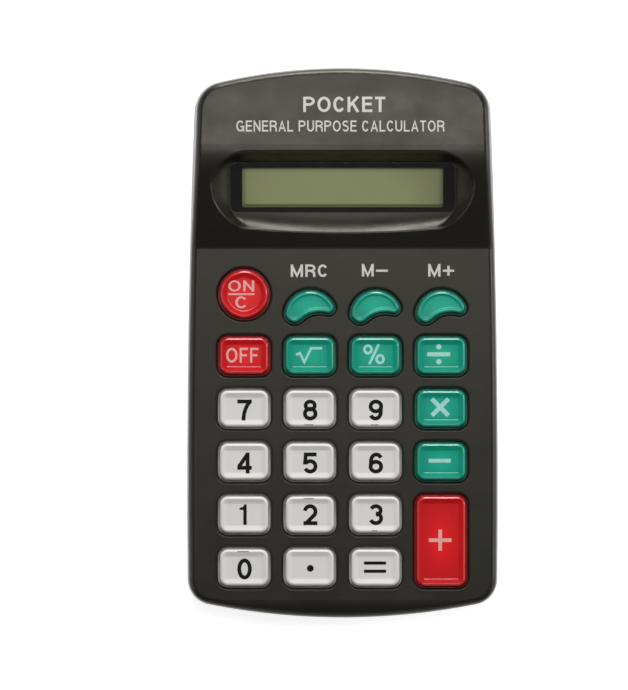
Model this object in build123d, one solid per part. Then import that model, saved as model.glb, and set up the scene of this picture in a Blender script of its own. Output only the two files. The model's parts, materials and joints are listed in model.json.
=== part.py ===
from build123d import *

import math
import os

# A pocket calculator: two shells, 23 keys on a rubber mat, a liquid crystal display and one
# AAA cell. Frame, in millimetres: the origin is the middle of the flat back, +Y points to the
# display end, +X to the right as the keys are read, and +Z out of the key face.

# General: a reach past every side of the case for cutting tools, how far joined shapes run
# into each other, and the play where two parts all but touch.
FAR = 60.0
MERGE = 0.1
TOUCH = 0.05

# Case outline at the parting line: four shallow arcs with rounded corners.
LENGTH = 115.0
WIDTH = 65.0
TOP_ARC_R = 115.0
BOTTOM_ARC_R = 143.0
SIDE_ARC_R = 2030.0
WIDEST_Y = -30.0
TOP_CORNER_R = 6.5
BOTTOM_CORNER_R = 5.5

# Side profile of the front face, from the low end to the display end.
PARTING_Z = 6.0
FACE_Z = 12.0
LOW_END = (-LENGTH / 2 - 3, 9.6)
LOW_BREAK_Y = -55.0
CREASE_Y = 19.8
CREST = (37.3, 17.95)
SHOULDER = (50.0, 17.3)
HIGH_END = (LENGTH / 2 + 3, 15.9)
WALL = 1.5
SIDE_WALL = 1.6
DRAFT = 4.0
FACE_EDGE_R = 1.3
BACK_EDGE_R = 1.5
SEAM_CHAMFER = 0.2
LIP_T = 0.65
LIP_PLAY = 0.25
LIP_Z = (4.4, 5.8, 6.8)

# Keys: a grid of four columns, six rows, and the row of curved memory keys above them.
COLUMN_PITCH = 13.66
ROW_PITCH = 11.02
FIRST_ROW_Y = -2.7
KEY_SIZE = (10.0, 7.5)
KEY_CORNER_R = 1.65
TALL_KEY_SIZE = (10.1, 18.6)
ROUND_KEY_D = 9.9
ROUND_KEY_Y = 10.1
CURVED_KEY_Y = 7.55
KEY_TOP_Z = 13.0
KEY_EDGE_R = 0.6
CREST_R = 0.25
DISH = (0.32, 0.42, 1.0, 0.8)
CURVED_DISH = (0.2, 0.42, 0.5, 0.5)
KEY_GAP = 0.5
HOLE_EDGE_R = 0.55
CURVED_POST = (0.15, 0.95)
FLANGE = 0.9
FLANGE_Z = (9.7, 10.4)
RIB_HALF_T = 0.4
KEY_ROOF = 0.8
KEY_SKIRT = 1.0
KEY_TRAVEL = 0.9

# Rubber mat, its domes and the board under it.
BOARD_TOP_Z = 7.0
BOARD_T = 1.2
BOARD_HALF_W = 26.3
BOARD_Y = (-51.5, 39.7)
MAT_HALF_W = 26.0
MAT_Y = (-51.0, 17.4)
MAT_T = 0.8
DOME_TOP_Z = 9.3
DOME_R = (3.7, 2.3)
DOME_WEB = 1.0
DOME_HOLLOW_R = (3.0, 2.0)
PILL = (1.6, 0.3)
PAD = (2.6, 0.05)
POST_R = 1.5

# Display, all centred on one line across the case.
DISPLAY_Y = 32.35
LENS_SIZE = (46.9, 10.5)
LENS_CORNER_R = 1.5
LENS_Z = (10.7, 11.65)
LENS_PLAY = 0.1
SCOOP_FLOOR_Z = 11.7
WINDOW_SIZE = (41.8, 8.2)
WINDOW_CORNER_R = 0.4
SHELF_Z = 9.9
SHELF_HALF_W = 25.0
SHELF_Y = (25.0, 39.4)
GLASS_SIZE = (45.0, 12.0)
GLASS_T = 0.7
FILM_T = 0.2
FILM_INSET = 0.5
LEDGE = 2.0
GLASS_TOP_Z = 9.6
SCOOP_RIM_R = 0.45
SCOOP_WALL = 0.9
SCOOP_LOWER = 1.2
STRIP_HALF_L = 20.5
STRIP_W = 1.6

# Battery bay in the display end of the rear shell.
CELL_D = 10.5
CELL_L = 44.5
CELL_X = 2.6
CELL_Y = 46.6
CELL_Z = 6.8
NUB = (1.9, 1.0)
BAY_HALF_W = 25.5
BAY_Y = (41.15, 52.05)
BAY_Z = (1.6, 12.2)
BAY_WALL = 0.8
BAY_CLEAR = 1.0
RAIL_X = (26.0, 30.6)
RAIL_TOP_Z = 3.2
RAIL_START_Y = 39.1
DOOR_HALF_W = 26.8
DOOR_Y = 40.7
DOOR_TOP_Z = 1.4
DOOR_END_Z = 5.9
DOOR_END_Y = 53.2
DOOR_GAP = 0.15
TONGUE = 1.0
TONGUE_HALF_W = 18.0
TONGUE_Z = (0.75, 1.4)
TONGUE_END_Y = 52.0
GRIP_Y = (44.0, 50.0)
GRIP_PITCH = 1.5
GROOVE = (14.0, 0.7, 0.35)
PLATE_T = 0.35
PLATE_HALF_W = 3.6
PLATE_Z = (2.2, 11.6)
TAB_HALF_W = 1.3
TAB_Z = 8.6
TAB_REACH = 2.6
TAB_SLOT_HALF_W = 1.6
TAB_SLOT_Z = (8.2, 10.4)
SPRING_R = 2.6
SPRING_WIRE_R = 0.25
SPRING_TURNS = 5
WIRE_R = 0.45

# Screws: four through the rear shell, six holding the board to the front shell.
CASE_SCREW_AT = [(28.5, -49.5), (-28.5, -49.5), (28.5, 35.5), (-28.5, 35.5)]
BOARD_SCREW_AT = [
    (side * x, y)
    for x, y in ((COLUMN_PITCH, -30.25), (COLUMN_PITCH, -8.21), (22.0, 20.8))
    for side in (-1, 1)
]
SHANK_R = 0.9
PILOT_R = 0.95
SHANK_TOP_Z = 9.8
CASE_HEAD_Z = (1.2, 2.5)
CASE_HEAD_R = 1.9
BOARD_HEAD_R = 1.8
BOARD_HEAD_T = 1.0
BOSS_R = 1.9
BOSS_LOW_Z = 5.7
COLUMN_R = 2.6
CLEAR_R = 1.15
CROSS = (2.2, 0.5, 0.5)
BOARD_STOPS_AT = [(side * 20.0, y) for y in (-40.0, -19.0, 4.0, 30.0) for side in (-1, 1)]
BOARD_STOP_R = (1.8, 1.2)
FLOOR_RIBS_Y = (-30.0, -10.0, 10.0)
FLOOR_RIB = (48.0, 1.0, 1.4)

# Small parts under the board: radius or size, place, and how far they hang down.
CHIP_BLOB = (6.5, 1.5)
CHIP_BLOB_AT = (-4.0, -19.0)
CAPACITOR = (2.0, 5.2)
CAPACITOR_AT = (12.0, 27.0)
RESISTOR = (2.0, 1.2, 0.55)
RESISTORS_AT = [(4.0 + 3.4 * i, -14.0) for i in range(4)]


# ---------------------------------------------------------------- helpers


def slab(size_x, size_y, z0, z1, x=0.0, y=0.0, corner=0.0):
    """A flat block centred on (x, y) from z0 to z1, with rounded corners if asked."""
    plan = RectangleRounded(size_x, size_y, corner) if corner else Rectangle(size_x, size_y)
    return extrude(Pos(x, y, z0) * plan, z1 - z0)


def span(x0, x1, y0, y1, z0, z1):
    """A plain block between two corners."""
    return slab(x1 - x0, y1 - y0, z0, z1, (x0 + x1) / 2, (y0 + y1) / 2)


def rod(x, y, radius, z0, z1):
    """An upright round bar."""
    return extrude(Pos(x, y, z0) * Circle(radius), z1 - z0)


def cone(x, y, radius_0, radius_1, z0, z1):
    """An upright truncated cone, radius_0 at z0 and radius_1 at z1."""
    middle = Pos(x, y, (z0 + z1) / 2)
    return middle * Cone(radius_0, radius_1, z1 - z0)


def both_sides(near, far):
    """The stretch from near to far on the -X side and on the +X side."""
    return (-far, -near), (near, far)


def disc(x, y, radius):
    return Pos(x, y) * Circle(radius)


def group(solids):
    """Several like pieces as one compound of separate solids."""
    return Compound(children=list(solids))


# ---------------------------------------------------------------- case shapes


def outline(inset=0.0):
    """The case's plan at the parting line, moved in by inset."""
    plan = disc(0, LENGTH / 2 - TOP_ARC_R, TOP_ARC_R - inset)
    plan &= disc(0, BOTTOM_ARC_R - LENGTH / 2, BOTTOM_ARC_R - inset)
    plan &= disc(WIDTH / 2 - SIDE_ARC_R, WIDEST_Y, SIDE_ARC_R - inset)
    plan &= disc(SIDE_ARC_R - WIDTH / 2, WIDEST_Y, SIDE_ARC_R - inset)
    plan = fillet(plan.vertices().sort_by(Axis.Y)[-2:], TOP_CORNER_R - inset)
    return fillet(plan.vertices().sort_by(Axis.Y)[:2], BOTTOM_CORNER_R - inset)


def side_profile(drop=0.0):
    """A solid under the front face, lowered by drop and wider than the case."""
    corners = [
        (LOW_END[0], 0),
        LOW_END,
        (LOW_BREAK_Y, FACE_Z),
        (CREASE_Y, FACE_Z),
        CREST,
        SHOULDER,
        HIGH_END,
        (HIGH_END[0], 0),
    ]
    rounding = {LOW_BREAK_Y: 7.0, CREASE_Y: 2.0, CREST[0]: 20.0, SHOULDER[0]: 60.0}
    face = make_face(Polyline(*corners, close=True))
    for y, radius in rounding.items():
        corner = face.vertices().sort_by_distance((y, dict(corners)[y], 0))[0]
        face = fillet(corner, radius)
    return extrude(Plane.YZ * Pos(0, -drop) * face, WIDTH, both=True)


def front_block(inset=0.0, drop=0.0):
    """The front shell's outside, or with inset and drop its inside, as a full block."""
    prism = extrude(Pos(0, 0, PARTING_Z) * outline(inset), 16, taper=DRAFT)
    return prism & side_profile(drop)


def rear_block(inset=0.0, floor=0.0):
    """The rear shell's outside, or with inset and floor its inside, as a full block."""
    upright = extrude(outline(inset), PARTING_Z - floor, taper=DRAFT)
    return Pos(0, 0, PARTING_Z) * mirror(upright, Plane.XY)


# ---------------------------------------------------------------- display scoop

# Height over the floor, then how far the scoop has spread: at its sides, top and bottom,
# the bow of its lower edge, and the radii of its upper and lower corners.
SCOOP_STEPS = [
    (0.0, 0.0, 0.0, 0.0, 0.05, 1.4, 1.4),
    (0.7, 0.55, 0.5, 2.85, 1.2, 2.0, 4.2),
    (1.8, 1.7, 1.0, 4.7, 2.1, 3.8, 7.0),
    (3.4, 3.1, 1.45, 6.0, 2.4, 6.2, 8.5),
    (6.3, 4.4, 1.9, 7.6, 2.6, 9.0, 9.5),
    (8.0, 4.6, 2.1, 8.2, 2.7, 9.5, 10.0),
]


def scoop_section(step, grow, z):
    """One closed section of the scoop."""
    _, side, top, bottom, bow, top_r, bottom_r = step
    half_w = LENS_SIZE[0] / 2 + LENS_PLAY + side + grow
    top_y = DISPLAY_Y + LENS_SIZE[1] / 2 + LENS_PLAY + top + grow
    low_y = DISPLAY_Y - LENS_SIZE[1] / 2 - LENS_PLAY - bottom - grow
    edges = [
        ThreePointArc((-half_w, low_y + bow), (0, low_y), (half_w, low_y + bow)),
        Polyline((half_w, low_y + bow), (half_w, top_y), (-half_w, top_y), (-half_w, low_y + bow)),
    ]
    face = make_face(edges)
    face = fillet(face.vertices().sort_by(Axis.Y)[-2:], top_r + grow)
    face = fillet(face.vertices().sort_by(Axis.Y)[:2], bottom_r + grow)
    return Pos(0, 0, z) * face


def scoop():
    """The hollow that the display lies at the bottom of."""
    return loft([scoop_section(s, 0, SCOOP_FLOOR_Z + s[0]) for s in SCOOP_STEPS])


def scoop_backing():
    """The wall behind the scoop, as a full block."""
    low_z = SCOOP_FLOOR_Z - SCOOP_LOWER
    sections = [scoop_section(SCOOP_STEPS[0], SCOOP_WALL, SHELF_Z)]
    sections += [scoop_section(step, SCOOP_WALL, low_z + step[0]) for step in SCOOP_STEPS[1:]]
    return loft(sections)


# ---------------------------------------------------------------- keys


def key_x(column):
    return (column - 1.5) * COLUMN_PITCH


def key_y(row):
    return FIRST_ROW_Y - row * ROW_PITCH


# Each plan can be asked for larger all round by grow, or smaller with a negative grow.


def rounded_plan(grow=0.0):
    width, height = KEY_SIZE
    return RectangleRounded(width + 2 * grow, height + 2 * grow, KEY_CORNER_R + grow)


def tall_plan(grow=0.0):
    width, height = TALL_KEY_SIZE
    return RectangleRounded(width + 2 * grow, height + 2 * grow, KEY_CORNER_R + grow)


def round_plan(grow=0.0):
    return Circle(ROUND_KEY_D / 2 + grow)


def curved_plan(grow=0.0):
    """A bent drop: a disc with a lower disc taken out, and both tips rounded."""
    plan = disc(0.15, -1.95, 5.12 + grow) - disc(2.0, -6.7, 5.6 - grow)
    left, right = plan.vertices().sort_by(Axis.X)
    plan = fillet(left, 1.75 + grow)
    right = plan.vertices().sort_by_distance(right.center())[0]
    return fillet(right, 1.1 + grow)


# Name, plan, column and Y of every key.
KEYS = [
    ("key_on_clear", round_plan, 0, ROUND_KEY_Y),
    ("key_memory_recall", curved_plan, 1, CURVED_KEY_Y),
    ("key_memory_minus", curved_plan, 2, CURVED_KEY_Y),
    ("key_memory_plus", curved_plan, 3, CURVED_KEY_Y),
    ("key_off", rounded_plan, 0, key_y(0)),
    ("key_square_root", rounded_plan, 1, key_y(0)),
    ("key_percent", rounded_plan, 2, key_y(0)),
    ("key_divide", rounded_plan, 3, key_y(0)),
    ("key_7", rounded_plan, 0, key_y(1)),
    ("key_8", rounded_plan, 1, key_y(1)),
    ("key_9", rounded_plan, 2, key_y(1)),
    ("key_multiply", rounded_plan, 3, key_y(1)),
    ("key_4", rounded_plan, 0, key_y(2)),
    ("key_5", rounded_plan, 1, key_y(2)),
    ("key_6", rounded_plan, 2, key_y(2)),
    ("key_minus", rounded_plan, 3, key_y(2)),
    ("key_1", rounded_plan, 0, key_y(3)),
    ("key_2", rounded_plan, 1, key_y(3)),
    ("key_3", rounded_plan, 2, key_y(3)),
    ("key_0", rounded_plan, 0, key_y(4)),
    ("key_decimal_point", rounded_plan, 1, key_y(4)),
    ("key_equals", rounded_plan, 2, key_y(4)),
    ("key_plus", tall_plan, 3, (key_y(3) + key_y(4)) / 2),
]


def dish(plan_of, depth, rim_w, slope_w, floor_r):
    """The shallow tray in a key's top: a rim, then sides that run softly into its floor."""
    rim = Pos(0, 0, KEY_TOP_Z) * plan_of(-rim_w)
    floor = Pos(0, 0, KEY_TOP_Z - depth) * plan_of(-rim_w - slope_w)
    tray = loft([rim, floor])
    return fillet(tray.edges().group_by(Axis.Z)[0], floor_r)


def crest_edges(cap, rim_w):
    """The edges where a key's rounded outside meets its tray."""
    rounding_left = KEY_EDGE_R - rim_w
    height = KEY_TOP_Z - KEY_EDGE_R + math.sqrt(KEY_EDGE_R**2 - rounding_left**2)
    return cap.edges().filter_by_position(Axis.Z, height - 0.02, height + 0.02)


def posts(plan_of):
    """Where a key's posts press the mat, from the key's own middle."""
    if plan_of is curved_plan:
        return [CURVED_POST]
    if plan_of is tall_plan:
        return [(0, -ROW_PITCH / 2), (0, ROW_PITCH / 2)]
    return [(0, 0)]


def press_points():
    """Every place on the board where a key's post presses."""
    return [(key_x(column) + x, y0 + y)
            for _, plan_of, column, y0 in KEYS
            for x, y in posts(plan_of)]


def keycap(plan_of):
    """One key, centred on its own plan, with its flange, skirt and posts."""
    low = FLANGE_Z[0]
    curved = plan_of is curved_plan
    cap = extrude(Pos(0, 0, low) * plan_of(), KEY_TOP_Z - low)
    cap = fillet(cap.faces().sort_by(Axis.Z)[-1].edges(), KEY_EDGE_R)
    sizes = CURVED_DISH if curved else DISH
    cap -= dish(plan_of, *sizes)
    cap = fillet(crest_edges(cap, sizes[1]), CREST_R)
    cap += extrude(Pos(0, 0, low) * plan_of(FLANGE), FLANGE_Z[1] - low)
    if not curved:
        roof_z = KEY_TOP_Z - DISH[0] - KEY_ROOF
        cap -= extrude(Pos(0, 0, low) * plan_of(-KEY_SKIRT), roof_z - low)
    for x, y in posts(plan_of):
        cap += rod(x, y, POST_R, DOME_TOP_Z, KEY_TOP_Z - 1.0)
    return cap


def key_holes():
    """The tool that cuts every key hole through the front face."""
    tool = []
    for _, plan_of, column, y in KEYS:
        hole = plan_of(KEY_GAP)
        tool.append(extrude(Pos(key_x(column), y, FACE_Z - 3) * hole, 6))
    return tool


# ---------------------------------------------------------------- shells


def rim_edges(block):
    """The edges around the top of the front block, without the ones across it."""
    above = block.edges().filter_by(lambda e: min(v.Z for v in e.vertices()) > PARTING_Z + 1)
    across = LENGTH / 2 - 4
    return above.filter_by(lambda e: abs(e.center().X) > 3 or abs(e.center().Y) > across)


def is_scoop_rim(edge):
    """True for the edges where the scoop meets the outside of the face."""
    middle = edge.center()
    beside = abs(middle.X) < LENS_SIZE[0] / 2 + 4.6 and 22 < middle.Y < 40.1
    above_face = middle.Z > side_height(middle.Y) - 0.3
    return beside and above_face and edge.length > 1.0


def side_height(y):
    """The height of the sloping face ahead of the crest, near enough to tell outside from inside."""
    slope = (CREST[1] - FACE_Z) / (CREST[0] - CREASE_Y)
    return min(FACE_Z + (y - CREASE_Y) * slope, CREST[1] - 0.3)


def ribs():
    """Ribs over the mat, between the key rows; the lowest one stops short of the tall key."""
    tall_edge = key_x(3) - TALL_KEY_SIZE[0] / 2 - FLANGE - 0.5
    for row in range(4):
        y = (key_y(row) + key_y(row + 1)) / 2
        end = tall_edge if row == 3 else BOARD_HALF_W
        low_z = BOARD_TOP_Z + MAT_T + TOUCH
        yield span(-BOARD_HALF_W, end, y - RIB_HALF_T, y + RIB_HALF_T, low_z, FACE_Z - 1)


def front_housing():
    outer = front_block()
    outer = fillet(rim_edges(outer), FACE_EDGE_R)
    outer = chamfer(outer.faces().sort_by(Axis.Z)[0].edges(), SEAM_CHAMFER)
    shell = outer - (front_block(SIDE_WALL, WALL) - scoop_backing())
    shell += span(-SHELF_HALF_W, SHELF_HALF_W, *SHELF_Y, SHELF_Z, LENS_Z[0])
    shell -= scoop()
    shell = fillet(shell.edges().filter_by(is_scoop_rim), SCOOP_RIM_R)
    pocket = (LENS_SIZE[0] + 2 * LENS_PLAY, LENS_SIZE[1] + 2 * LENS_PLAY)
    shell -= slab(*pocket, LENS_Z[0], SCOOP_FLOOR_Z + MERGE, 0, DISPLAY_Y, LENS_CORNER_R)
    shell -= slab(*WINDOW_SIZE, SHELF_Z - 1, LENS_Z[0] + 1, 0, DISPLAY_Y, WINDOW_CORNER_R)
    for hole in key_holes():
        shell -= hole
    shell = fillet(shell.edges().filter_by(is_hole_rim), HOLE_EDGE_R)
    bosses = [rod(x, y, BOSS_R, BOSS_LOW_Z, FACE_Z - 1) for x, y in CASE_SCREW_AT]
    bosses += [rod(x, y, BOSS_R, BOARD_TOP_Z + TOUCH, FACE_Z - 1) for x, y in BOARD_SCREW_AT]
    shell += bosses + list(ribs())
    for x, y in CASE_SCREW_AT + BOARD_SCREW_AT:
        shell -= rod(x, y, PILOT_R, BOSS_LOW_Z, SHANK_TOP_Z + 0.1)
    return shell


def is_hole_rim(edge):
    """True for the edges of the key holes on the outside of the face."""
    box = edge.bounding_box()
    level = abs(box.min.Z - FACE_Z) < 0.001 and abs(box.max.Z - FACE_Z) < 0.001
    small = box.size.X < 12 and box.size.Y < TALL_KEY_SIZE[1]
    return level and small and abs(box.center().X) < BOARD_HALF_W


def door_region(gap=0.0, floor=-1.0):
    """The part of the rear shell that the battery door takes up."""
    half = DOOR_HALF_W + gap
    return span(-half, half, DOOR_Y - gap, LENGTH / 2 + 1, floor, PARTING_Z + 2)


def tongues(end_y, gap=0.0):
    """The door's tongues: one along each side as far as end_y, and one at its inner edge."""
    z0, z1 = TONGUE_Z[0] - gap, TONGUE_Z[1] + gap
    reach = DOOR_HALF_W + TONGUE + gap
    half = TONGUE_HALF_W + gap
    sides = span(-reach, reach, DOOR_Y + 1, end_y, z0, z1)
    inner = span(-half, half, DOOR_Y - TONGUE - gap, DOOR_Y + 2, z0, z1)
    return sides + inner


def rear_shell():
    """The rear shell with its floor whole, before the door is cut out of it."""
    outer = rear_block()
    outer = fillet(outer.faces().sort_by(Axis.Z)[0].edges(), BACK_EDGE_R)
    outer = chamfer(outer.faces().sort_by(Axis.Z)[-1].edges(), SEAM_CHAMFER)
    return outer - rear_block(SIDE_WALL, WALL)


def lip():
    """The lip that stands up inside the front shell's wall."""
    inside = outline(SIDE_WALL + LIP_PLAY + LIP_T)
    low = outline(SIDE_WALL - 3 * MERGE) - inside
    high = outline(SIDE_WALL + LIP_PLAY) - inside
    root_z, step_z, top_z = LIP_Z
    ring = extrude(Pos(0, 0, root_z) * low, step_z + MERGE - root_z)
    return ring + extrude(Pos(0, 0, step_z) * high, top_z - step_z)


def battery_bay():
    """The walls and roof around the cell, open towards the door."""
    wall = BAY_WALL
    outside = span(-BAY_HALF_W - wall, BAY_HALF_W + wall, BAY_Y[0] - wall, BAY_Y[1] + wall,
                   BAY_Z[0], BAY_Z[1] + wall)
    inside = span(-BAY_HALF_W, BAY_HALF_W, *BAY_Y, BAY_Z[0], BAY_Z[1])
    bay = fillet((outside - inside).edges().group_by(Axis.Z)[-1], 0.5)
    bay &= extrude(outline(SIDE_WALL + BAY_CLEAR), 20)
    rail_limit = extrude(outline(SIDE_WALL / 2), 20)
    slots = [span(*ends, CELL_Y - TAB_SLOT_HALF_W, CELL_Y + TAB_SLOT_HALF_W, *TAB_SLOT_Z)
             for ends in both_sides(BAY_HALF_W - 1, BAY_HALF_W + 1)]
    rails = [span(*ends, RAIL_START_Y, TONGUE_END_Y, BAY_Z[0] - MERGE, RAIL_TOP_Z)
             for ends in both_sides(*RAIL_X)]
    foot = span(-BAY_HALF_W, BAY_HALF_W, BAY_Y[0] - wall, DOOR_Y - DOOR_GAP, WALL - MERGE, BAY_Z[0])
    return bay + [rail & rail_limit for rail in rails] + foot - slots


def rear_housing():
    shell = rear_shell() + lip() + battery_bay()
    floor = WALL - MERGE
    rib_l, rib_t, rib_h = FLOOR_RIB
    stop_z = BOARD_TOP_Z - BOARD_T - TOUCH
    shell += [rod(x, y, COLUMN_R, floor, BOSS_LOW_Z - 0.1) for x, y in CASE_SCREW_AT]
    shell += [cone(x, y, *BOARD_STOP_R, floor, stop_z) for x, y in BOARD_STOPS_AT]
    shell += [slab(rib_l, rib_t, floor, WALL + rib_h, 0, y) for y in FLOOR_RIBS_Y]
    for x, y in CASE_SCREW_AT:
        shell -= rod(x, y, CASE_HEAD_R + 0.2, -1, CASE_HEAD_Z[1])
        shell -= rod(x, y, CLEAR_R, -1, PARTING_Z)
        shell -= rod(x, y, BOSS_R + 0.2, BOSS_LOW_Z - 0.1, PARTING_Z + 2)
    behind_bay = BAY_Y[1] + BAY_WALL + 2 * DOOR_GAP
    shell -= door_region(DOOR_GAP) & span(-FAR, FAR, 0, FAR, -1, BAY_Z[0] - MERGE)
    shell -= door_region(DOOR_GAP) & span(-FAR, FAR, behind_bay, FAR, -1, PARTING_Z + 2)
    return shell - tongues(LENGTH / 2 + 1, DOOR_GAP)


def battery_door():
    """The sliding door: a piece of the back and of the end wall, with ridges for the thumb."""
    door = rear_shell() & door_region()
    door -= span(-FAR, FAR, 0, DOOR_END_Y, DOOR_TOP_Z, PARTING_Z + 1)
    door -= span(-FAR, FAR, 0, FAR, DOOR_END_Z, PARTING_Z + 1)
    door += tongues(TONGUE_END_Y)
    steps = round((GRIP_Y[1] - GRIP_Y[0]) / GRIP_PITCH) + 1
    length, width, depth = GROOVE
    for i in range(steps):
        door -= slab(length, width, -1, depth, 0, GRIP_Y[0] + i * GRIP_PITCH, 0.4 * width)
    return door


# ---------------------------------------------------------------- display


def glass_slab(z_top, short=0.0):
    """One of the display's glasses; short takes that much off its lower edge."""
    size_x, size_y = GLASS_SIZE
    return slab(size_x, size_y - short, z_top - GLASS_T, z_top, 0, DISPLAY_Y + short / 2)


def film(z_top):
    """One of the films on the glasses, clear of the ledge where the strip presses."""
    size_x = GLASS_SIZE[0] - 2 * FILM_INSET
    size_y = GLASS_SIZE[1] - LEDGE - 2 * FILM_INSET
    return slab(size_x, size_y, z_top - FILM_T, z_top, 0, DISPLAY_Y + LEDGE / 2)


def display_parts():
    lens = slab(*LENS_SIZE, *LENS_Z, 0, DISPLAY_Y, LENS_CORNER_R - LENS_PLAY)
    lens = fillet(lens.edges().group_by(Axis.Z)[-1], 0.2)
    middle_z = GLASS_TOP_Z - GLASS_T
    low_z = middle_z - GLASS_T
    strip_y = DISPLAY_Y - GLASS_SIZE[1] / 2 + LEDGE / 2
    foam_y = DISPLAY_Y + GLASS_SIZE[1] / 2 - LEDGE
    return {
        "display_lens": lens,
        "lcd_front_polariser": film(GLASS_TOP_Z + FILM_T),
        "lcd_front_glass": glass_slab(GLASS_TOP_Z),
        "lcd_rear_glass": glass_slab(middle_z, LEDGE),
        "lcd_rear_reflector": film(low_z),
        "zebra_connector": slab(2 * STRIP_HALF_L, STRIP_W, BOARD_TOP_Z, middle_z, 0, strip_y),
        "lcd_foam_pad": slab(2 * STRIP_HALF_L, STRIP_W, BOARD_TOP_Z, low_z - FILM_T, 0, foam_y),
    }


# ---------------------------------------------------------------- board and mat


def circuit_board():
    y0, y1 = BOARD_Y
    low = BOARD_TOP_Z - BOARD_T
    high = BOARD_TOP_Z
    board = slab(2 * BOARD_HALF_W, y1 - y0, low, high, 0, (y0 + y1) / 2, 2.0)
    for x, y in CASE_SCREW_AT:
        board -= rod(x, y, COLUMN_R + 0.3, low - 1, high + 1)
    for x, y in BOARD_SCREW_AT:
        board -= rod(x, y, CLEAR_R, low - 1, high + 1)
    return board


def key_mat():
    """The rubber sheet with a hollow dome under every key."""
    y0, y1 = MAT_Y
    base_top = BOARD_TOP_Z + MAT_T
    mat = slab(2 * MAT_HALF_W, y1 - y0, BOARD_TOP_Z + PAD[1], base_top, 0, (y0 + y1) / 2, 2.0)
    for x, y in BOARD_SCREW_AT:
        if y < y1:
            mat -= rod(x, y, BOSS_R + 0.3, BOARD_TOP_Z - 1, base_top + 1)
    for x, y in press_points():
        mat += cone(x, y, *DOME_R, base_top, DOME_TOP_Z)
        mat -= cone(x, y, *DOME_HOLLOW_R, BOARD_TOP_Z + PAD[1], DOME_TOP_Z - DOME_WEB)
    return mat


def board_parts():
    low = BOARD_TOP_Z - BOARD_T
    hollow_top = DOME_TOP_Z - DOME_WEB
    blob_r, blob_h = CHIP_BLOB
    blob = rod(*CHIP_BLOB_AT, blob_r, low - blob_h, low)
    blob = fillet(blob.edges().group_by(Axis.Z)[0], 0.9 * blob_h)
    can_x, can_y = CAPACITOR_AT
    can = Pos(can_x, can_y, low - CAPACITOR[0] - TOUCH) * Rot(0, 90, 0) * Cylinder(*CAPACITOR)
    can = fillet(can.edges().group_by(Axis.X)[0], 0.4)
    length, width, height = RESISTOR
    chips = [slab(length, width, low - height, low, x, y, 0.1) for x, y in RESISTORS_AT]
    pads = [rod(x, y, PAD[0], BOARD_TOP_Z, BOARD_TOP_Z + PAD[1]) for x, y in press_points()]
    pills = [rod(x, y, PILL[0], hollow_top - PILL[1], hollow_top) for x, y in press_points()]
    return {
        "main_circuit_board": circuit_board(),
        "rubber_key_mat": key_mat(),
        "chip_encapsulation": blob,
        "electrolytic_capacitor": can,
        "chip_resistors": group(chips),
        "contact_pads": group(pads),
        "carbon_pills": group(pills),
    }


# ---------------------------------------------------------------- power


def cell():
    nub_r, nub_l = NUB
    body_l = CELL_L - nub_l
    left = CELL_X - CELL_L / 2
    along = Rot(0, 90, 0)
    body = Pos(left + body_l / 2, CELL_Y, CELL_Z) * along * Cylinder(CELL_D / 2, body_l)
    body = fillet(body.edges().filter_by(GeomType.CIRCLE), 0.4)
    nub_x = left + body_l + (nub_l - MERGE) / 2
    return body + Pos(nub_x, CELL_Y, CELL_Z) * along * Cylinder(nub_r, nub_l + MERGE)


def contact_plates():
    """Plates at the bay's end walls, each with a tab through its slot: the -X one, then the +X one."""
    flat = BAY_HALF_W - PLATE_T
    plates = [span(*ends, CELL_Y - PLATE_HALF_W, CELL_Y + PLATE_HALF_W, *PLATE_Z)
              for ends in both_sides(flat, BAY_HALF_W)]
    tabs = [span(*ends, CELL_Y - TAB_HALF_W, CELL_Y + TAB_HALF_W, TAB_Z, TAB_Z + PLATE_T)
            for ends in both_sides(flat, BAY_HALF_W + TAB_REACH)]
    return [plate + tab for plate, tab in zip(plates, tabs)]


def battery_spring():
    """A plain coil between the plate and the flat end of the cell."""
    start = -BAY_HALF_W + PLATE_T + SPRING_WIRE_R
    end = CELL_X - CELL_L / 2 - SPRING_WIRE_R
    length = end - start
    foot = (start, CELL_Y, CELL_Z)
    path = Helix(length / SPRING_TURNS, length, SPRING_R, direction=(1, 0, 0), center=foot)
    section = Plane(origin=path @ 0, z_dir=path % 0) * Circle(SPRING_WIRE_R)
    return sweep(section, path=path, is_frenet=True)


# Each wire's middle line, from its plate's tab to its pad on the board.
WIRE_ROUTE = [
    (27.5, 46.6, 9.45),
    (27.9, 44.2, 9.2),
    (27.6, 41.0, 8.6),
    (25.6, 38.9, 8.3),
    (24.6, 38.4, 7.1),
]


def wire(side):
    path = Spline([(side * x, y, z) for x, y, z in WIRE_ROUTE])
    section = Plane(origin=path @ 0, z_dir=path % 0) * Circle(WIRE_R)
    return sweep(section, path=path)


def power_parts():
    negative, positive = contact_plates()
    return {
        "battery_cell": cell(),
        "battery_spring": battery_spring(),
        "positive_contact_plate": positive,
        "negative_contact_plate": negative,
        "positive_wire": wire(1),
        "negative_wire": wire(-1),
    }


# ---------------------------------------------------------------- screws


def screw(x, y, head_r, head_z):
    """A screw with its head low and its shank up; the head has a cross recess below."""
    z0, z1 = head_z
    head = rod(x, y, head_r, z0, z1)
    head = fillet(head.edges().group_by(Axis.Z)[0], 0.3)
    length, width, depth = CROSS
    recess = slab(length, width, z0 - 1, z0 + depth, x, y)
    recess += slab(width, length, z0 - 1, z0 + depth, x, y)
    return head + rod(x, y, SHANK_R, z1, SHANK_TOP_Z) - recess


def screw_parts():
    board_low = BOARD_TOP_Z - BOARD_T
    board_head_z = (board_low - BOARD_HEAD_T, board_low)
    case_screws = [screw(x, y, CASE_HEAD_R, CASE_HEAD_Z) for x, y in CASE_SCREW_AT]
    board_screws = [screw(x, y, BOARD_HEAD_R, board_head_z) for x, y in BOARD_SCREW_AT]
    return {"case_screws": group(case_screws), "board_screws": group(board_screws)}


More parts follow.
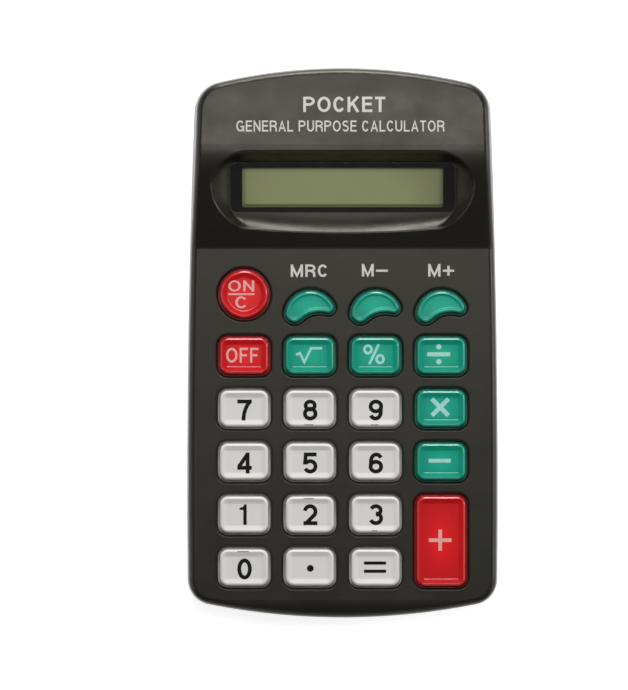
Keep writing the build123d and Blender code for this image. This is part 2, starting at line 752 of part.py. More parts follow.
# ---------------------------------------------------------------- assembly


def key_parts():
    """Every key in its place; keys with the same plan share one model."""
    models = {}
    parts = {}
    for name, plan_of, column, y in KEYS:
        if plan_of not in models:
            models[plan_of] = keycap(plan_of)
        parts[name] = Pos(key_x(column), y, 0) * models[plan_of]
    return parts


def all_parts():
    parts = {
        "front_housing": front_housing(),
        "rear_housing": rear_housing(),
        "battery_door": battery_door(),
    }
    parts.update(display_parts())
    parts.update(board_parts())
    parts.update(power_parts())
    parts.update(screw_parts())
    parts.update(key_parts())
    return parts


if __name__ == "__main__":
    os.makedirs("parts", exist_ok=True)
    for name, shape in all_parts().items():
        export_step(shape, f"parts/{name}.step")
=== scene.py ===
import json
import math

import bmesh
import bpy
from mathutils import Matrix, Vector
from mathutils.bvhtree import BVHTree


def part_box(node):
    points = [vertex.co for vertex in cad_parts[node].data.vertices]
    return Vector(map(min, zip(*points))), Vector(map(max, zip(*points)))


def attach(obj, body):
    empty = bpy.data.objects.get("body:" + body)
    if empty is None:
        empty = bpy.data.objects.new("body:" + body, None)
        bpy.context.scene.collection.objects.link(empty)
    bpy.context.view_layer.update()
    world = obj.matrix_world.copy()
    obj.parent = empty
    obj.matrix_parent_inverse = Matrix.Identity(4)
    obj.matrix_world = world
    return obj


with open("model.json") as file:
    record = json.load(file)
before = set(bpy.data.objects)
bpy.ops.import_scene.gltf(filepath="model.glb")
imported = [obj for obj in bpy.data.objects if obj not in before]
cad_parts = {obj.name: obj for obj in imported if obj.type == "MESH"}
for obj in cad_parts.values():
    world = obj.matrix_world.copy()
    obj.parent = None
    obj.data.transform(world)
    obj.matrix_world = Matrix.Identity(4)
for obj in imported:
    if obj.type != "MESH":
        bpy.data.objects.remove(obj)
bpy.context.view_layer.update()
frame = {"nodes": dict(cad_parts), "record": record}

# A dark pocket calculator with white, red and green keys, seen from above on a pale floor.
# The frame is the CAD one: origin in the middle of the back, +Y to the display end, +Z out of the keys.

MM = 0.001
NODES = frame["nodes"]


# ------------------------------------------------------------------ materials

# Two kinds of noise: broken clouds, and soft swells.
CLOUDY = {"detail": 5.0, "roughness": 0.7}
SOFT = {"detail": 2.0}
# Most of a noise lies between these two values.
NOISE_LOW = 0.3
NOISE_HIGH = 0.7

# Sizes of the features on each kind of surface, and how deep they are, in mm.
MOULDED_PATCH = 14.0
MOULDED_POLISH = 9.0
MOULDED_WAVE = 22.0
MOULDED_WAVE_DEPTH = 0.03
KEY_POLISH = 5.0
KEY_RIPPLE = 0.6
KEY_RIPPLE_DEPTH = 0.0015
KEY_WAVE = 7.0
KEY_WAVE_DEPTH = 0.012
METAL_STREAK = 0.6
FILM_PATCH = 4.0
FILM_GRAIN = 0.8
FILM_GRAIN_DEPTH = 0.002
SHEET_SMEAR = 6.0
INK_WEAR = 1.6

# A glossy key's colour is painted this much darker at its edge, a painted shade, and full from this far in, a
# painted glow of light through the plastic.
KEY_PAINTED_EDGE_SHADE = 0.7
KEY_PAINTED_GLOW_FROM = 0.6
KEY_ROUGHNESS = (0.26, 0.36)

# The shade of the frame on the display along each axis, as shares of the film's length: where it is
# darkest at either end, and how far it reaches.
FILM_SHADE = {"X": (0.028, 0.972, 0.022), "Y": (-0.06, 0.85, 0.12)}
FILM_SHADE_DEPTH = 0.55
FILM_DARKEST = 0.2
FILM_ROUGHNESS = (0.42, 0.5)

# How far roughness strays from its middle where a noise is low, and where it is high.
MOULDED_SWING = (-0.05, 0.05)
METAL_SWING = (-0.06, 0.08)
SHEET_SWING = (-0.02, 0.04)
INK_SWING = (0.06, -0.04)

# The darker side of a metal streak and of worn ink, and where on its noise ink is full.
STREAK_SHADE = 0.85
WORN_SHADE = 0.86
INK_FULL_FROM = 0.62
ACRYLIC_IOR = 1.49


class Look:
    """One node-based material under construction."""

    def __init__(self, name):
        self.material = bpy.data.materials.new(name)
        self.material.use_nodes = True
        self.nodes = self.material.node_tree.nodes
        self.links = self.material.node_tree.links
        self.shader = self.nodes["Principled BSDF"]
        self.place = self.nodes.new("ShaderNodeTexCoord").outputs

    def set(self, **values):
        """Sets sockets of the shader by name, with _ for a space."""
        for key, value in values.items():
            self.shader.inputs[key.replace("_", " ")].default_value = value

    def noise(self, size_mm, detail=3.0, roughness=0.55, stretch=(1, 1, 1)):
        """A noise whose features are about size_mm across."""
        mapping = self.nodes.new("ShaderNodeMapping")
        mapping.inputs["Scale"].default_value = stretch
        self.links.new(self.place["Object"], mapping.inputs["Vector"])
        node = self.nodes.new("ShaderNodeTexNoise")
        node.inputs["Scale"].default_value = 1 / (size_mm * MM)
        node.inputs["Detail"].default_value = detail
        node.inputs["Roughness"].default_value = roughness
        self.links.new(mapping.outputs["Vector"], node.inputs["Vector"])
        return node.outputs["Fac"]

    def ramp(self, factor, *stops):
        """A colour ramp: stops are (position, colour)."""
        node = self.nodes.new("ShaderNodeValToRGB")
        for element, (position, colour) in zip(node.color_ramp.elements, stops):
            element.position = position
            element.color = (*colour, 1.0)
        self.links.new(factor, node.inputs["Fac"])
        return node.outputs["Color"]

    def spread(self, factor, low, high):
        """Maps a noise onto low to high."""
        node = self.nodes.new("ShaderNodeMapRange")
        node.inputs["From Min"].default_value = NOISE_LOW
        node.inputs["From Max"].default_value = NOISE_HIGH
        node.inputs["To Min"].default_value = low
        node.inputs["To Max"].default_value = high
        self.links.new(factor, node.inputs["Value"])
        return node.outputs["Result"]

    def roughen(self, factor, middle, swing):
        """Varies the roughness around its middle with a noise."""
        below, above = swing
        self.plug(self.spread(factor, middle + below, middle + above), "Roughness")

    def fade(self, factor, edge, inside, at_edge):
        """Rises smoothly from at_edge to 1 between edge and inside."""
        node = self.nodes.new("ShaderNodeMapRange")
        node.interpolation_type = "SMOOTHSTEP"
        node.inputs["From Min"].default_value = edge
        node.inputs["From Max"].default_value = inside
        node.inputs["To Min"].default_value = at_edge
        self.links.new(factor, node.inputs["Value"])
        return node.outputs["Result"]

    def product(self, first, second):
        node = self.nodes.new("ShaderNodeMath")
        node.operation = "MULTIPLY"
        self.links.new(first, node.inputs[0])
        self.links.new(second, node.inputs[1])
        return node.outputs["Value"]

    def bump(self, factor, depth_mm, under=None):
        """Raises the surface by up to depth_mm where factor is high, on top of another bump."""
        node = self.nodes.new("ShaderNodeBump")
        node.inputs["Strength"].default_value = 1.0
        node.inputs["Distance"].default_value = depth_mm * MM
        self.links.new(factor, node.inputs["Height"])
        if under is not None:
            self.links.new(under, node.inputs["Normal"])
        return node.outputs["Normal"]

    def plug(self, output, socket):
        self.links.new(output, self.shader.inputs[socket])


def shade(colour, factor):
    """The colour, darker by this factor."""
    return tuple(c * factor for c in colour)


def moulded(name, colour, rough, grain, grain_depth, variation, **values):
    """Moulded plastic: slightly uneven colour, a fine grain, and patches that are polished by use."""
    look = Look(name)
    patches = look.noise(MOULDED_PATCH, detail=4.0)
    stops = ((NOISE_LOW, shade(colour, 1 - variation)), (NOISE_HIGH, shade(colour, 1 + variation)))
    look.plug(look.ramp(patches, *stops), "Base Color")
    look.roughen(look.noise(MOULDED_POLISH, **CLOUDY), rough, MOULDED_SWING)
    fine = look.bump(look.noise(grain, **SOFT), grain_depth)
    look.plug(look.bump(look.noise(MOULDED_WAVE, **SOFT), MOULDED_WAVE_DEPTH, fine), "Normal")
    look.set(**values)
    return look.material


def key_plastic(name, colour):
    """Glossy, slightly translucent key plastic, with a painted glow of light in the middle and painted shade
    towards the edges.
    """
    look = Look(name)
    # The key's box becomes -1 to 1 each way, so that the painted glow sits on its middle.
    around = look.nodes.new("ShaderNodeMapping")
    around.inputs["Location"].default_value = (-1, -1, 0)
    around.inputs["Scale"].default_value = (2, 2, 0)
    look.links.new(look.place["Generated"], around.inputs["Vector"])
    painted_glow = look.nodes.new("ShaderNodeTexGradient")
    painted_glow.gradient_type = "QUADRATIC_SPHERE"
    look.links.new(around.outputs["Vector"], painted_glow.inputs["Vector"])
    # The painted glow in the key's middle fades to painted shade at its edges.
    stops = ((0.0, shade(colour, KEY_PAINTED_EDGE_SHADE)), (KEY_PAINTED_GLOW_FROM, colour))
    look.plug(look.ramp(painted_glow.outputs["Fac"], *stops), "Base Color")
    look.plug(look.spread(look.noise(KEY_POLISH, **CLOUDY), *KEY_ROUGHNESS), "Roughness")
    ripple = look.bump(look.noise(KEY_RIPPLE, **SOFT), KEY_RIPPLE_DEPTH)
    look.plug(look.bump(look.noise(KEY_WAVE, **SOFT), KEY_WAVE_DEPTH, ripple), "Normal")
    look.set(**GLOSS)
    return look.material


def metal(name, colour, rough, brush=(1, 1, 1)):
    """Bare metal with fine streaks, finest along the axis where brush is large."""
    look = Look(name)
    streaks = look.noise(METAL_STREAK, detail=3.0, roughness=0.6, stretch=brush)
    stops = ((NOISE_LOW, shade(colour, STREAK_SHADE)), (NOISE_HIGH, colour))
    look.plug(look.ramp(streaks, *stops), "Base Color")
    look.roughen(streaks, rough, METAL_SWING)
    look.set(Metallic=1.0)
    return look.material


def display_film(name, colour):
    """The grey-green face of the display, dimmer towards its edges, where the frame shades it."""
    look = Look(name)
    split = look.nodes.new("ShaderNodeSeparateXYZ")
    look.links.new(look.place["Generated"], split.inputs["Vector"])
    fades = []
    for axis, (low_edge, high_edge, width) in FILM_SHADE.items():
        for edge, inside in ((low_edge, low_edge + width), (high_edge, high_edge - width)):
            fades.append(look.fade(split.outputs[axis], edge, inside, FILM_SHADE_DEPTH))
    light = fades[0]
    for fade in fades[1:]:
        light = look.product(light, fade)
    look.plug(look.ramp(light, (0.0, shade(colour, FILM_DARKEST)), (1.0, colour)), "Base Color")
    look.plug(look.spread(look.noise(FILM_PATCH), *FILM_ROUGHNESS), "Roughness")
    look.plug(look.bump(look.noise(FILM_GRAIN, **SOFT), FILM_GRAIN_DEPTH), "Normal")
    return look.material


def clear(name, tint, alpha, rough):
    """A clear sheet: see-through by as much as alpha is low, with the shine of its surface."""
    look = Look(name)
    look.set(Base_Color=(*tint, 1), Alpha=alpha, IOR=ACRYLIC_IOR)
    look.roughen(look.noise(SHEET_SMEAR, **CLOUDY), rough, SHEET_SWING)
    return look.material


def ink(name, colour, rough, shine):
    """Printed ink, a little uneven where it has worn."""
    look = Look(name)
    wear = look.noise(INK_WEAR, **CLOUDY)
    stops = ((NOISE_LOW, shade(colour, WORN_SHADE)), (INK_FULL_FROM, colour))
    look.plug(look.ramp(wear, *stops), "Base Color")
    look.roughen(wear, rough, INK_SWING)
    look.set(Specular_IOR_Level=shine)
    return look.material


CASE_COLOUR = (0.0135, 0.0127, 0.0100)
WHITE_KEY_COLOUR = (0.80, 0.785, 0.75)
RED_KEY_COLOUR = (0.90, 0.008, 0.012)
GREEN_KEY_COLOUR = (0.002, 0.45, 0.30)
LCD_COLOUR = (0.60, 0.655, 0.30)
GLOSS = {"Specular_IOR_Level": 0.1, "Coat_Weight": 1.0, "Coat_Roughness": 0.17, "Coat_IOR": 1.6}

# Colour, roughness, grain size and grain depth in mm, and how much the colour varies.
MOULDED = {
    "case_plastic": (CASE_COLOUR, 0.33, 0.35, 0.010, 0.08),
    "white_key": (WHITE_KEY_COLOUR, 0.4, 0.5, 0.006, 0.02),
    "reflector": (LCD_COLOUR, 0.6, 0.8, 0.004, 0.03),
    "contact_rubber": ((0.05, 0.05, 0.05), 0.7, 0.5, 0.01, 0.1),
    "foam": ((0.1, 0.1, 0.1), 0.9, 0.4, 0.05, 0.1),
    "board_laminate": ((0.05, 0.2, 0.07), 0.45, 0.6, 0.006, 0.1),
    "silicone": ((0.55, 0.55, 0.53), 0.6, 0.8, 0.01, 0.04),
    "epoxy": ((0.01, 0.01, 0.01), 0.25, 3.0, 0.05, 0.1),
    "ceramic_chip": ((0.03, 0.03, 0.03), 0.4, 0.4, 0.01, 0.1),
    "carbon_ink": ((0.02, 0.02, 0.02), 0.7, 0.4, 0.01, 0.1),
    "cell_jacket": ((0.06, 0.09, 0.14), 0.3, 0.8, 0.003, 0.05),
    "red_insulation": ((0.5, 0.02, 0.02), 0.45, 0.8, 0.005, 0.05),
    "black_insulation": ((0.02, 0.02, 0.02), 0.45, 0.8, 0.005, 0.05),
}
MOULDED_EXTRAS = {
    "case_plastic": {"Specular_Tint": (1.0, 0.95, 0.82, 1.0)},
    "white_key": {"Specular_IOR_Level": 0.3},
    "cell_jacket": {"Metallic": 0.6},
}
MATERIALS = {
    "red_key": key_plastic("red_key", RED_KEY_COLOUR),
    "green_key": key_plastic("green_key", GREEN_KEY_COLOUR),
    "window": clear("window", (0.02, 0.022, 0.02), 0.08, 0.06),
    "lcd_glass": clear("lcd_glass", shade(LCD_COLOUR, 0.8), 0.6, 0.05),
    "polariser": display_film("polariser", LCD_COLOUR),
    "capacitor_can": metal("capacitor_can", (0.3, 0.33, 0.42), 0.35),
    "plated_steel": metal("plated_steel", (0.72, 0.71, 0.68), 0.25, (1, 8, 1)),
    "screw_steel": metal("screw_steel", (0.55, 0.54, 0.52), 0.35, (8, 1, 1)),
}
for slot, values in MOULDED.items():
    MATERIALS[slot] = moulded(slot, *values, **MOULDED_EXTRAS.get(slot, {}))


def dress_nodes():
    """Gives every CAD node the material of its slot."""
    for part in frame["record"]["subparts"]:
        mesh = NODES[part["node"]].data
        mesh.materials.clear()
        mesh.materials.append(MATERIALS[part["material_slot"]])


# ------------------------------------------------------------------ printing

# Colour, roughness and shine.
INK_BLACK = ink("ink_black", (0.006, 0.006, 0.006), 0.45, 0.15)
INK_WHITE = ink("ink_white", (0.74, 0.72, 0.68), 0.5, 0.3)
INK_ON_RED = ink("ink_on_red", (0.92, 0.46, 0.43), 0.4, 0.3)
INK_ON_GREEN = ink("ink_on_green", (0.42, 0.80, 0.73), 0.4, 0.3)
INK_GATE = ink("gate_mark", (0.10, 0.095, 0.085), 0.6, 0.2)
# A plain black for the film along the window's edge, which darkens the strip round the display.
WINDOW_EDGE_BLACK = ink("window_edge_black", (0.010, 0.010, 0.006), 0.5, 0.2)

# Ink stands this much over the surface, and reaches this much under it, so that no gap shows.
LIFT = 0.02 * MM
SINK = 0.03 * MM
# Each stroke of a sign lies this much over the one before, so that crossings don't flicker.
STROKE_STEP = 0.0004 * MM
# Ink is cut into rows this far apart, so that it can follow a curved face.
ROW_STEP = 0.8 * MM
SAME_POINT = 1e-8
# The surface is felt from this height, and also this far aside, in case a ray slips through an edge.
RAY_HEIGHT = 1.0
NUDGE = 0.004 * MM
SURFACES = {}


def surface_of(node):
    """The node's mesh as a tree that rays can be cast on, made once for each node."""
    if node not in SURFACES:
        mesh = NODES[node].data
        corners = [vertex.co for vertex in mesh.vertices]
        SURFACES[node] = BVHTree.FromPolygons(corners, [face.vertices[:] for face in mesh.polygons])
    return SURFACES[node]


def height_at(node, x, y):
    """How high the node's top lies over (x, y)."""
    heights = []
    for dx, dy in ((0, 0), (NUDGE, NUDGE), (-NUDGE, NUDGE)):
        start = Vector((x + dx, y + dy, RAY_HEIGHT))
        hit = surface_of(node).ray_cast(start, Vector((0, 0, -1)))[0]
        if hit is not None:
            heights.append(hit.z)
    return max(heights)


def film_mesh(outlines):
    """A flat bmesh from closed outlines of (x, y) points in metres; inner ones are holes."""
    curve = bpy.data.curves.new("film", "CURVE")
    curve.dimensions = "2D"
    curve.fill_mode = "BOTH"
    for outline in outlines:
        spline = curve.splines.new("POLY")
        spline.points.add(len(outline) - 1)
        for point, (x, y) in zip(spline.points, outline):
            point.co = (x, y, 0, 1)
        spline.use_cyclic_u = True
    carrier = bpy.data.objects.new("film", curve)
    mesh = bpy.data.meshes.new_from_object(carrier)
    bpy.data.objects.remove(carrier)
    film = bmesh.new()
    film.from_mesh(mesh)
    bpy.data.meshes.remove(mesh)
    return film


def slice_rows(film):
    """Cuts a flat bmesh into rows along X."""
    ys = [vertex.co.y for vertex in film.verts]
    y = math.floor(min(ys) / ROW_STEP) * ROW_STEP
    while y < max(ys):
        everything = [*film.verts, *film.edges, *film.faces]
        bmesh.ops.bisect_plane(film, geom=everything, plane_co=(0, y, 0), plane_no=(0, 1, 0), dist=SAME_POINT)
        y += ROW_STEP


def thicken(film, thickness):
    """Turns an open bmesh into a closed film by raising a copy of it."""
    raised = bmesh.ops.extrude_face_region(film, geom=list(film.faces))
    for item in raised["geom"]:
        if isinstance(item, bmesh.types.BMVert):
            item.co.z += thickness
    bmesh.ops.recalc_face_normals(film, faces=film.faces)


def print_on(name, shapes, at, node, body, material):
    """Lays flat shapes on a node's top as a thin film of ink. A shape is a list of closed outlines."""
    mesh = bpy.data.meshes.new(name)
    ink_film = bmesh.new()
    for order, outlines in enumerate(shapes):
        film = film_mesh(outlines)
        bmesh.ops.translate(film, verts=film.verts, vec=(*at, 0))
        slice_rows(film)
        for vertex in film.verts:
            vertex.co.z = height_at(node, vertex.co.x, vertex.co.y) - SINK
        thicken(film, SINK + LIFT + order * STROKE_STEP)
        film.to_mesh(mesh)
        film.free()
        ink_film.from_mesh(mesh)
    ink_film.to_mesh(mesh)
    ink_film.free()
    mesh.materials.append(material)
    piece = bpy.data.objects.new(name, mesh)
    bpy.context.scene.collection.objects.link(piece)
    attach(piece, body)


# ------------------------------------------------------------------ lettering

# A plain sans alphabet of constant stroke. A glyph is drawn in a box one unit high: each stroke is a
# middle line, and the stroke's weight is laid on both sides of it.
GLYPH_WIDTHS = {
    "M": 0.86, "-": 0.86, "+": 0.78, " ": 0.24, "O": 0.80, "C": 0.70, "G": 0.80, "R": 0.72, "A": 0.74,
    "E": 0.62, "F": 0.58, "L": 0.58, "T": 0.62, "%": 1.1, "S": 0.66, "K": 0.72,
}
PLAIN_WIDTH = 0.70
LETTER_GAP = 0.16
# How high the middle of a sign such as plus lies.
SIGN_HEIGHT = 0.46


def bow(x, y, radius_x, radius_y, start, end, steps=14):
    """Points along an elliptical arc, in degrees from +X."""
    angles = [math.radians(start + (end - start) * i / steps) for i in range(steps + 1)]
    return [(x + radius_x * math.cos(a), y + radius_y * math.sin(a)) for a in angles]


def line(*points):
    """An open stroke."""
    return (list(points), False)


def loop(x, y, radius_x, radius_y, last, steps):
    """A closed elliptical stroke, whose last point is at this angle."""
    return (bow(x, y, radius_x, radius_y, 0, last, steps), True)


def glyph(character, width, weight):
    """The strokes of a character as (points, closed) pairs."""
    left, low = weight / 2, weight / 2
    right, high = width - weight / 2, 1 - weight / 2
    mid, half = width / 2, (width - weight) / 2
    tall = (1 - weight) / 2
    upright = line((left, 0), (left, 1))
    far_upright = line((right, 0), (right, 1))
    top = line((left, high), (width, high))
    ring = loop(mid, 0.5, half, tall, 350, 35)
    belly = loop(mid, low + 0.235, half, 0.235, 350, 30)
    upper_bowl = line((left, high), (mid, high),
                      *bow(mid, high - 0.21, half, 0.21, 90, -90), (left, high - 0.42))
    strokes = {
        "A": [line((left * 0.9, 0), (mid, high), (width - left * 0.9, 0)),
              line((width * 0.2, 0.3), (width * 0.8, 0.3))],
        "C": [line(*bow(mid, 0.5, half, tall, 36, 324, 30))],
        "E": [upright, top, line((left, 0.52), (width * 0.93, 0.52)), line((left, low), (width, low))],
        "F": [upright, top, line((left, 0.5), (width * 0.88, 0.5))],
        "G": [line(*bow(mid, 0.5, half, tall, 42, 345, 32)),
              line((mid + 0.02, 0.45), (right, 0.45), (right, 0))],
        "K": [upright, line((width - left, 1), (left, 0.36)),
              line((width * 0.42, 0.6), (width - left, 0))],
        "L": [upright, line((left, low), (width, low))],
        "M": [upright, far_upright, line((left, high), (mid, low), (right, high))],
        "N": [upright, far_upright, line((left, high), (right, low))],
        "O": [ring],
        "P": [upright, upper_bowl],
        "R": [upright, upper_bowl, line((mid, high - 0.42), (right - 0.02, high - 0.56), (right, 0))],
        "S": [line(*bow(mid, high - 0.2, half * 0.93, 0.2, 25, 235, 14),
                   *bow(mid, low + 0.22, half, 0.22, 62, -155, 14))],
        "T": [line((0, high), (width, high)), line((mid, 0), (mid, high))],
        "U": [line((left, 1), *bow(mid, 0.33, half, 0.33 - low, 180, 360), (right, 1))],
        "0": [ring],
        "2": [line(*bow(mid, high - 0.26, half, 0.26, 172, -38), (left + 0.06, low)),
              line((0.02, low), (width, low))],
        "3": [line(*bow(mid, high - 0.205, half * 0.92, 0.205, 158, -90)),
              line(*bow(mid, low + 0.235, half, 0.235, 90, -160))],
        "4": [line((width - 0.2, 0), (width - 0.2, 1)),
              line((width - 0.2, high + 0.02), (left - 0.02, 0.32)),
              line((0, 0.27), (width, 0.27))],
        "5": [line((width - 0.04, high), (left, high)),
              line((left + 0.05, 1), (left, 0.43)),
              line(*bow(mid, low + 0.25, half, 0.25, 140, -155, 20))],
        "6": [line(*bow(mid + 0.02, 0.6, half, high - 0.6, 30, 180), (left + 0.01, 0.33)), belly],
        "7": [line((0, high), (width, high)), line(*bow(1.03, 0, 0.73, 1.1, 125, 180, 10))],
        "8": [loop(mid, high - 0.19, half * 0.86, 0.19, 350, 30), belly],
        "%": [loop(width * 0.22, high - 0.19, width * 0.22 - left, 0.19, 345, 23),
              loop(width * 0.78, low + 0.19, width * 0.22 - left, 0.19, 345, 23),
              line((width * 0.72, 1), (width * 0.28, 0))],
        "-": [line((0, SIGN_HEIGHT), (width, SIGN_HEIGHT))],
        "+": [line((0, SIGN_HEIGHT), (width, SIGN_HEIGHT)),
              line((mid, SIGN_HEIGHT - mid), (mid, SIGN_HEIGHT + mid))],
        " ": [],
    }
    if character == "9":
        six = glyph("6", width, weight)
        return [([(width - x, 1 - y) for x, y in points], closed) for points, closed in six]
    return strokes[character]


def stroke_outlines(points, closed, weight):
    """The outline of a stroke laid along points, or two outlines for a closed one."""
    count = len(points)
    sides = ([], [])
    for i, (x, y) in enumerate(points):
        before = points[i - 1] if i > 0 or closed else points[i]
        after = points[(i + 1) % count] if i < count - 1 or closed else points[i]
        into = Vector((x - before[0], y - before[1])).normalized()
        out = Vector((after[0] - x, after[1] - y)).normalized()
        along = (into + out).normalized()
        reach = weight / 2 / max(0.5, along.dot(out if out.length else into))
        sides[0].append((x - along.y * reach, y + along.x * reach))
        sides[1].append((x + along.y * reach, y - along.x * reach))
    if closed:
        return [sides[0], sides[1]]
    return [sides[0] + sides[1][::-1]]


def lettering(text, height, width, weight):
    """Shapes for a line of text, in metres, centred on the origin; weight is the stroke over the height."""
    advance = 0.0
    placed = []
    for character in text:
        wide = GLYPH_WIDTHS.get(character, PLAIN_WIDTH)
        for points, closed in glyph(character, wide, weight):
            placed.append(([(x + advance, y) for x, y in points], closed))
        advance += wide + LETTER_GAP
    total = advance - LETTER_GAP
    shapes = []
    for points, closed in placed:
        outlines = stroke_outlines(points, closed, weight)
        shapes.append([[((x - total / 2) * width / total, (y - 0.5) * height) for x, y in outline]
                       for outline in outlines])
    return shapes


# ------------------------------------------------------------------ signs, drawn in mm


def in_mm(*points):
    return [(x * MM, y * MM) for x, y in points]


def bar(width, height, x=0.0, y=0.0, corner=0.12):
    """A bar with rounded corners."""
    half_w, half_h = width / 2 - corner, height / 2 - corner
    points = []
    for side_x, side_y, start in ((1, 1, 0), (-1, 1, 90), (-1, -1, 180), (1, -1, 270)):
        points += bow(x + side_x * half_w, y + side_y * half_h, corner, corner, start, start + 90, 4)
    return in_mm(*points)


def dot(diameter, x=0.0, y=0.0):
    return in_mm(*bow(x, y, diameter / 2, diameter / 2, 0, 350, 35))


def turned(outline, degrees):
    """The outline turned about the origin."""
    c, s = math.cos(math.radians(degrees)), math.sin(math.radians(degrees))
    return [(x * c - y * s, x * s + y * c) for x, y in outline]


def root_sign():
    middle = in_mm((-2.65, 0.1), (-1.85, 0.45), (-0.95, -1.45), (0.45, 1.45), (2.75, 1.45))
    return stroke_outlines(middle, False, ROOT_WEIGHT)


def digit_one():
    """A one with a flag and no foot."""
    return in_mm((-1.05, 1.0), (-1.05, 1.4), (-0.35, 1.6), (-0.02, 2.12), (0.45, 2.12), (0.45, -2.12),
                 (-0.25, -2.12), (-0.25, 1.0))


# ------------------------------------------------------------------ legends

DIGIT_HEIGHT = 4.35 * MM
DIGIT_WIDTH = 3.0 * MM
DIGIT_WEIGHT = 0.184
ROOT_WEIGHT = 0.5 * MM
# Places from the middle of a key, in mm. The two low rows of digits are printed a little higher.
DIGIT_PLACE = (0.08, -0.28)
LOW_ROW_PLACE = (0.08, 0.0)
ON_CLEAR_SHIFT = -0.6
# Name, shapes and height over the middle of the round key, in mm.
ON_CLEAR_LINES = [
    ("on", lettering("ON", 2.3 * MM, 5.4 * MM, 0.15), 1.7),
    ("bar", [[bar(5.5, 0.36)]], 0.0),
    ("clear", lettering("C", 2.45 * MM, 2.5 * MM, 0.15), -1.7),
]
# Shapes, ink and place from the middle of the key, in mm.
KEY_LEGENDS = {
    "key_1": ([[digit_one()]], INK_BLACK, LOW_ROW_PLACE),
    "key_decimal_point": ([[dot(1.4)]], INK_BLACK, (0.1, -0.15)),
    "key_equals": ([[bar(4.6, 0.65, 0, 0.85)], [bar(4.6, 0.65, 0, -0.85)]], INK_BLACK, (-0.1, 0.1)),
    "key_multiply": ([[turned(bar(4.9, 0.9), 45)], [turned(bar(4.9, 0.9), -45)]], INK_ON_GREEN, (-0.2, 0.3)),
    "key_divide": ([[bar(4.8, 0.85)], [dot(1.1, 0, 1.55)], [dot(1.1, 0, -1.55)]], INK_ON_GREEN, (-0.5, 0.3)),
    "key_minus": ([[bar(4.6, 0.8)]], INK_ON_GREEN, (-0.3, 0.2)),
    "key_plus": ([[bar(4.7, 0.75)], [bar(0.75, 4.4)]], INK_ON_RED, (-0.2, 0.2)),
    "key_square_root": ([root_sign()], INK_ON_GREEN, (-0.2, 0.1)),
    "key_percent": (lettering("%", 4.15 * MM, 4.5 * MM, 0.13), INK_ON_GREEN, (-0.3, 0.3)),
    "key_off": (lettering("OFF", 3.1 * MM, 6.7 * MM, 0.15), INK_ON_RED, (-0.4, 0.1)),
}
for digit in "023456789":
    KEY_LEGENDS[f"key_{digit}"] = (
        lettering(digit, DIGIT_HEIGHT, DIGIT_WIDTH, DIGIT_WEIGHT),
        INK_BLACK,
        LOW_ROW_PLACE if digit in "23" else DIGIT_PLACE,
    )
# Text, height, width, stroke weight and place on the front face, in mm.
FACE_TEXT = [
    ("memory_recall", "MRC", 2.6, 7.7, 0.17, -6.95, 15.0),
    ("memory_minus", "M-", 2.6, 5.4, 0.17, 6.7, 15.1),
    ("memory_plus", "M+", 2.6, 5.4, 0.17, 20.5, 15.1),
    ("type", "POCKET", 3.2, 17.0, 0.17, 0.3, 49.4),
    ("title", "GENERAL PURPOSE CALCULATOR", 2.3, 43.1, 0.145, -0.5, 44.9),
]


def key_middle(node):
    """The middle of a key, seen from above."""
    low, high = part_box(node)
    return ((low[0] + high[0]) / 2, (low[1] + high[1]) / 2)


def print_keys():
    for node, (shapes, material, (dx, dy)) in KEY_LEGENDS.items():
        x, y = key_middle(node)
        print_on(f"legend_{node}", shapes, (x + dx * MM, y + dy * MM), node, f"body_{node}", material)
    x, y = key_middle("key_on_clear")
    for name, shapes, dy in ON_CLEAR_LINES:
        at = (x + ON_CLEAR_SHIFT * MM, y + dy * MM)
        print_on(f"legend_{name}", shapes, at, "key_on_clear", "body_key_on_clear", INK_ON_RED)


def print_face():
    for name, text, height, width, weight, x, y in FACE_TEXT:
        shapes = lettering(text, height * MM, width * MM, weight)
        print_on(f"print_{name}", shapes, (x * MM, y * MM), "front_housing", "case", INK_WHITE)


# ------------------------------------------------------------------ key and window details

# Digit, end of the key (1 is the end towards the display) and length in mm.
GATE_MARKS = (("8", -1, 1.9), ("9", -1, 1.6), ("2", 1, 2.2), ("3", -1, 1.2), ("0", 1, 2.4))
GATE_WIDTH = 0.16
GATE_CORNER = 0.07
GATE_FROM_FLANGE = 1.3 * MM
GATE_SHIFT = -0.2 * MM

# The black border of the window, in mm. It is as wide as this, less the inset, at the sides and ends.
BORDER_INSET = 0.15
BORDER_SIDE = 2.45
BORDER_END = 1.12
BORDER_OUTER_CORNER = 1.2
BORDER_INNER_CORNER = 0.5
BORDER_THICKNESS = 0.015
BORDER_SINK = 0.01


def add_gate_marks():
    """The small dark nicks that the mould left at the ends of some white keys."""
    for digit, side, length in GATE_MARKS:
        node = f"key_{digit}"
        x, y = key_middle(node)
        (_, low_y, _), (_, high_y, _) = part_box(node)
        reach = (high_y - low_y) / 2 - GATE_FROM_FLANGE
        at = (x + GATE_SHIFT, y + side * reach)
        mark = bar(length, GATE_WIDTH, corner=GATE_CORNER)
        print_on(f"gate_mark_{node}", [[mark]], at, node, f"body_{node}", INK_GATE)


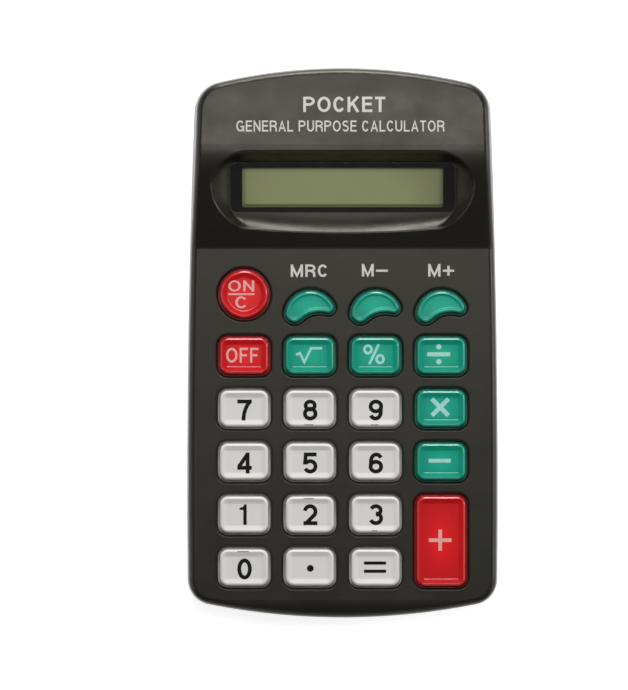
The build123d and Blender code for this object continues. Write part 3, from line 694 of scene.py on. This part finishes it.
def add_window_border():
    """A thin black film on the back of the window, along its edge, round the display."""
    (x0, y0, back), (x1, y1, _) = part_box("display_lens")
    width, height = (x1 - x0) / MM, (y1 - y0) / MM
    outer = bar(width - 2 * BORDER_INSET, height - 2 * BORDER_INSET, corner=BORDER_OUTER_CORNER)
    inner = bar(width - 2 * BORDER_SIDE, height - 2 * BORDER_END, corner=BORDER_INNER_CORNER)
    film = film_mesh([outer, inner])
    thicken(film, BORDER_THICKNESS * MM)
    middle = ((x0 + x1) / 2, (y0 + y1) / 2, back - BORDER_SINK * MM)
    bmesh.ops.translate(film, verts=film.verts, vec=middle)
    mesh = bpy.data.meshes.new("window_border")
    film.to_mesh(mesh)
    film.free()
    mesh.materials.append(WINDOW_EDGE_BLACK)
    piece = bpy.data.objects.new("window_border", mesh)
    bpy.context.scene.collection.objects.link(piece)
    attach(piece, "case")


# ------------------------------------------------------------------ stage

CAMERA_AT = (-5.96 * MM, -0.47 * MM)
CAMERA_HEIGHT = 1.2
VIEW_HEIGHT = 144.35 * MM
SENSOR = 36.0
PARTING_HEIGHT = 6.0 * MM

FLOOR_SIZE = 4.0
FLOOR_DROP = 0.05 * MM
FLOOR_COLOUR = (0.9, 0.9, 0.9, 1)
FLOOR_ROUGHNESS = 0.9
FLOOR_GLOW = 0.75
WHITE = (1, 1, 1, 1)
WORLD_GLOW = 0.05

LIGHT_TARGET = Vector((0, 0, 0.01))
# Place and size in metres, and power in watts.
LIGHTS = {
    "overhead_light": ((0.03, 0.24, 1.0), (0.4, 0.26), 1.9),
    "back_light": ((0.0, 0.9, 0.38), (0.4, 0.5), 8.0),
    "right_light": ((0.9, 0.1, 0.5), (0.14, 0.3), 1.5),
    "right_wall": ((0.9, 0.0, 0.42), (1.0, 0.8), 2.6),
    "left_wall": ((-0.9, 0.0, 0.42), (1.0, 0.8), 2.4),
    "front_light": ((0.0, -0.9, 0.4), (0.6, 0.3), 0.5),
}


def add_camera():
    """Looks straight down, so that VIEW_HEIGHT fills the picture at the height of the parting line."""
    data = bpy.data.cameras.new("camera")
    data.sensor_fit = "AUTO"
    data.sensor_width = SENSOR
    data.lens = SENSOR * (CAMERA_HEIGHT - PARTING_HEIGHT) / VIEW_HEIGHT
    camera = bpy.data.objects.new("camera", data)
    camera.location = (*CAMERA_AT, CAMERA_HEIGHT)
    bpy.context.scene.collection.objects.link(camera)
    bpy.context.scene.camera = camera


def add_floor():
    """A pale floor just under the back, bright enough to look white."""
    bpy.ops.mesh.primitive_plane_add(size=FLOOR_SIZE, location=(0, 0, -FLOOR_DROP))
    floor = bpy.context.object
    floor.name = "floor"
    look = Look("floor")
    look.set(Base_Color=FLOOR_COLOUR, Roughness=FLOOR_ROUGHNESS)
    look.set(Emission_Color=WHITE, Emission_Strength=FLOOR_GLOW)
    floor.data.materials.append(look.material)


def add_lights():
    """Soft lights all round, each turned to the calculator, in a dim white world."""
    for name, (place, size, power) in LIGHTS.items():
        data = bpy.data.lights.new(name, "AREA")
        data.shape = "RECTANGLE"
        data.size, data.size_y = size
        data.energy = power
        light = bpy.data.objects.new(name, data)
        light.location = place
        light.rotation_euler = (LIGHT_TARGET - Vector(place)).to_track_quat("-Z", "Y").to_euler()
        bpy.context.scene.collection.objects.link(light)
    world = bpy.data.worlds.new("world")
    world.use_nodes = True
    background = world.node_tree.nodes["Background"]
    background.inputs["Color"].default_value = WHITE
    background.inputs["Strength"].default_value = WORLD_GLOW
    bpy.context.scene.world = world
    bpy.context.scene.view_settings.view_transform = "Standard"


# ------------------------------------------------------------------ build

dress_nodes()
print_keys()
print_face()
add_gate_marks()
add_window_border()
add_camera()
add_floor()
add_lights()
